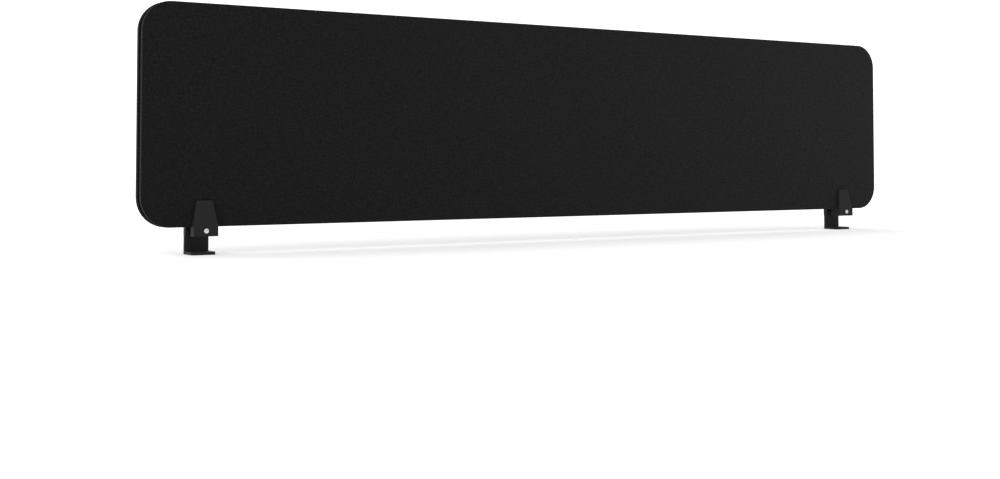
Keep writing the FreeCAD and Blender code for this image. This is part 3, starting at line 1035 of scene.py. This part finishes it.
def make_nut(side):
    """Hexagon nut with chamfered corners and a countersunk bore."""
    node = side + "_clamp_nut"
    low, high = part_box(node)
    axis = (low + high) / 2
    across = 7.0 * MM
    bore = 2.05 * MM
    countersink = 0.3 * MM
    count = 72
    depths = [low.y, low.y + 0.15 * MM, low.y + 0.45 * MM, high.y - 0.45 * MM, high.y - 0.15 * MM, high.y]
    washer = across / 2 * 0.95
    limits = [washer, washer + 0.26 * MM, 9 * MM, 9 * MM, washer + 0.26 * MM, washer]
    rings = []
    for depth, limit in zip(depths, limits):
        rings.append([(min(limit, hexagon_radius(a, across)), a, depth) for a in spread_angles(count)])
    bore_rings = (
        (bore + countersink, high.y), (bore, high.y - countersink),
        (bore, low.y + countersink), (bore + countersink, low.y),
    )
    for radius, depth in bore_rings:
        rings.append([(radius, a, depth) for a in spread_angles(count)])
    points = []
    for loop in rings:
        for radius, angle, depth in loop:
            points.append((axis.x + radius * math.cos(angle), depth, axis.z + radius * math.sin(angle)))
    faces = ring_faces(len(rings), count, close_rings=True)
    piece = build_piece(side + "_hex_nut", points, faces, ZINC, smooth=False)
    place(piece, "panel", "bright_zinc", node)


# ================================================================ hidden soft pieces and pads
def soft_slab(name, low, high, cell, radius, rough, material, seed):
    """Closed slab with rounded edges and an uneven surface, lying across Y."""
    rng = np.random.default_rng(seed)
    xs = spread(low[0], high[0], cell)
    zs = spread(low[2], high[2], cell)
    points = []
    for depth in (low[1], high[1]):
        for z in zs:
            for x in xs:
                points.append((x, depth, z))
    wide = len(xs)
    tall = len(zs)
    layer = wide * tall
    faces = []
    for row in range(tall - 1):
        for column in range(wide - 1):
            a = row * wide + column
            faces.append((a, a + 1, a + wide + 1, a + wide))
            b = a + layer
            faces.append((b, b + wide, b + wide + 1, b + 1))
    rim = list(range(wide))
    rim += [row * wide + wide - 1 for row in range(1, tall)]
    rim += [(tall - 1) * wide + column for column in reversed(range(wide - 1))]
    rim += [row * wide for row in reversed(range(1, tall - 1))]
    for step, a in enumerate(rim):
        b = rim[(step + 1) % len(rim)]
        faces.append((b, a, a + layer, b + layer))
    points = np.array(points)
    middle = (low[1] + high[1]) / 2
    inward = np.sign(middle - points[:, 1])
    points[:, 1] += inward * rough * rng.random(len(points))
    piece = build_piece(name, points, faces, material)
    round_edges(piece, radius)
    apply_modifiers(piece)
    return piece


def make_wadding(name, node):
    """Felt sheet between the core and the cover, with the panel's round corners."""
    low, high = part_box(node)
    inset = low.z - PANEL_BOTTOM
    rng = np.random.default_rng(3)
    cell = 12 * MM
    corner_steps = 8
    insets = [inset + value * MM for value in (38.0, 30.0, 22.0, 14.0, 7.0, 2.0, 0.3, 0.0)]
    size = len(outline(0.0, cell, corner_steps)[0])
    rings = [(value, low.y) for value in insets] + [(value, high.y) for value in reversed(insets)]
    points = np.array(panel_points(rings, cell, corner_steps))
    inward = np.where(points[:, 1] < (low.y + high.y) / 2, 1, -1)
    points[:, 1] += inward * 0.15 * MM * rng.random(len(points))
    faces = ring_faces(len(rings), size, cap_start=True, cap_end=True)
    piece = build_piece(name, points, faces, PALE_FELT)
    place(piece, "panel", "wadding_felt", node)


def make_boards():
    """The sound-absorbing boards in the bays, one piece each."""
    node = frame["nodes"]["absorber_boards"]
    xs = sorted(set(round(vertex.co.x, 5) for vertex in node.data.vertices))
    low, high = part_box("absorber_boards")
    for index in range(0, len(xs), 2):
        corner_low = (xs[index], low.y, low.z)
        corner_high = (xs[index + 1], high.y, high.z)
        name = "absorber_board_%d" % (index // 2 + 1)
        cell = 12 * MM
        radius = 0.8 * MM
        rough = 0.3 * MM
        piece = soft_slab(name, corner_low, corner_high, cell, radius, rough, BOARD_FELT, index)
        place(piece, "panel", "absorber_felt")
    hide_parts("absorber_boards")


def make_pad(side, which, body):
    """Ribbed rubber pad set in the jaw's inner face."""
    node = side + "_" + which + "_pad"
    low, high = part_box(node)
    xs = spread(low.x, high.x, 1.0 * MM)
    zs = spread(low.z, high.z, 0.5 * MM)
    toward = 1 if which == "front" else -1
    outer, inner = (low.y, high.y) if which == "front" else (high.y, low.y)
    points = []
    for z in zs:
        groove = 0.25 * MM * max(0.0, math.cos(2 * math.pi * (z - low.z) / (3 * MM))) ** 4
        for x in xs:
            points.append((x, inner - toward * groove, z))
    faces = grid_faces(len(xs), len(zs))
    if which == "front":
        faces = turned_over(faces)
    piece = build_piece(node.replace("pad", "grip"), points, faces, RUBBER)
    shell = piece.modifiers.new("thickness", "SOLIDIFY")
    shell.thickness = abs(inner - outer) - 0.3 * MM
    shell.offset = -1
    round_edges(piece, 0.3 * MM)
    apply_modifiers(piece)
    place(piece, body, "grip_rubber", node)


# ================================================================ build
make_cover("front_fabric", -1, "front_cover")
make_cover("rear_fabric", 1, "rear_cover")
stitch_line("front_stitches", -1)
stitch_line("rear_stitches", 1)
make_tape("front_tape", -1, "front_zip_tape")
make_tape("rear_tape", 1, "rear_zip_tape")
make_coil("front_coil", -1, "front_zip_coil")
make_coil("rear_coil", 1, "rear_zip_coil")
make_wadding("front_felt", "front_wadding")
make_wadding("rear_felt", "rear_wadding")
make_boards()

for side in SIDES:
    make_screw(side)
    make_nut(side)
    make_pad(side, "front", side + "_front_jaw")
    make_pad(side, "rear", "panel")
    for part in ("front_jaw", "rear_jaw", "desk_plate"):
        repaint(side + "_" + part, COAT)

make_slider()
make_stops()
make_end_tab()
for node in ("core_top_rail", "core_bottom_rail"):
    repaint(node, SOFTWOOD_X)
for node in ("core_left_stile", "core_right_stile", "core_mullions"):
    repaint(node, SOFTWOOD_Z)
repaint("core_dowels", BEECH)


# ================================================================ studio
def add_driver(owner, path, expression, sources, index=-1):
    """Ties one setting to world places of other objects: name -> (object, transform channel)."""
    curve = owner.driver_add(path, index) if index >= 0 else owner.driver_add(path)
    curve.driver.type = "SCRIPTED"
    for name, (target, channel) in sources.items():
        variable = curve.driver.variables.new()
        variable.name = name
        variable.type = "TRANSFORMS"
        variable.targets[0].id = target
        variable.targets[0].transform_type = channel
        variable.targets[0].transform_space = "WORLD_SPACE"
    curve.driver.expression = expression


def make_floor():
    """Pale floor that stays under the lower of the two feet."""
    half = 14.0
    mesh = bpy.data.meshes.new("floor")
    corners = [(-half, -half, 0), (half, -half, 0), (half, half, 0), (-half, half, 0)]
    mesh.from_pydata(corners, [], [(0, 1, 2, 3)])
    surface = Surface("floor_paint")
    where = surface.place_of()
    tone = surface.range(surface.noise(where, 3.0, 2.0), 0.3, 0.7, 0.955, 0.965)
    paint = surface.finish(Base_Color=surface.grey(tone), Roughness=0.9, Specular_IOR_Level=0.0)
    mesh.materials.append(paint)
    floor = link("floor", mesh)
    feet = {
        "a": (frame["bodies"]["left_desk_plate"], "LOC_Z"),
        "b": (frame["bodies"]["right_desk_plate"], "LOC_Z"),
    }
    add_driver(floor, "location", "min(a, b, 0)", feet, 2)


def make_world():
    """White surroundings that light the object more from the left than from the right.

    The camera sees them evenly bright.
    """
    brightness = 1.35
    left_bias = 0.5
    world = bpy.data.worlds.new("studio")
    world.use_nodes = True
    tree = world.node_tree
    background = tree.nodes["Background"]
    background.inputs["Color"].default_value = (1.0, 1.0, 1.0, 1)
    direction = tree.nodes.new("ShaderNodeSeparateXYZ")
    tree.links.new(tree.nodes.new("ShaderNodeTexCoord").outputs["Generated"], direction.inputs[0])
    strength = tree.nodes.new("ShaderNodeMath")
    strength.operation = "MULTIPLY_ADD"
    tree.links.new(direction.outputs["X"], strength.inputs[0])
    strength.inputs[1].default_value = -left_bias
    strength.inputs[2].default_value = brightness
    seen = tree.nodes.new("ShaderNodeMath")
    seen.operation = "MAXIMUM"
    tree.links.new(strength.outputs[0], seen.inputs[0])
    scaled = tree.nodes.new("ShaderNodeMath")
    scaled.operation = "MULTIPLY"
    scaled.inputs[1].default_value = brightness
    tree.links.new(tree.nodes.new("ShaderNodeLightPath").outputs["Is Camera Ray"], scaled.inputs[0])
    tree.links.new(scaled.outputs[0], seen.inputs[1])
    tree.links.new(seen.outputs[0], background.inputs["Strength"])
    bpy.context.scene.world = world


def make_camera():
    """Camera a little above desk height, to the left of the panel's left end.

    Its lens shift holds only at this viewpoint. From anywhere else the shift is nought, so that a
    camera aimed at the object has it in the middle of the frame.
    """
    place_at = Vector((-1.309, -1.7765, 0.1284))
    turn = math.radians(33.555)
    tilt = math.radians(2.223)
    lens_shift = -0.1342
    data = bpy.data.cameras.new("camera")
    data.sensor_width = 36.0
    data.lens = 49.756
    camera = bpy.data.objects.new("camera", data)
    bpy.context.scene.collection.objects.link(camera)
    look = Vector((math.sin(turn) * math.cos(tilt), math.cos(turn) * math.cos(tilt), math.sin(tilt)))
    camera.location = place_at
    camera.rotation_euler = look.to_track_quat("-Z", "Y").to_euler()
    bpy.context.scene.camera = camera
    here = "%g * (abs(x - %g) < 0.001) * (abs(y - %g) < 0.001)" % (lens_shift, place_at.x, place_at.y)
    add_driver(data, "shift_y", here, {"x": (camera, "LOC_X"), "y": (camera, "LOC_Y")})


make_floor()
make_world()
make_camera()
bpy.context.scene.view_settings.view_transform = "Standard"
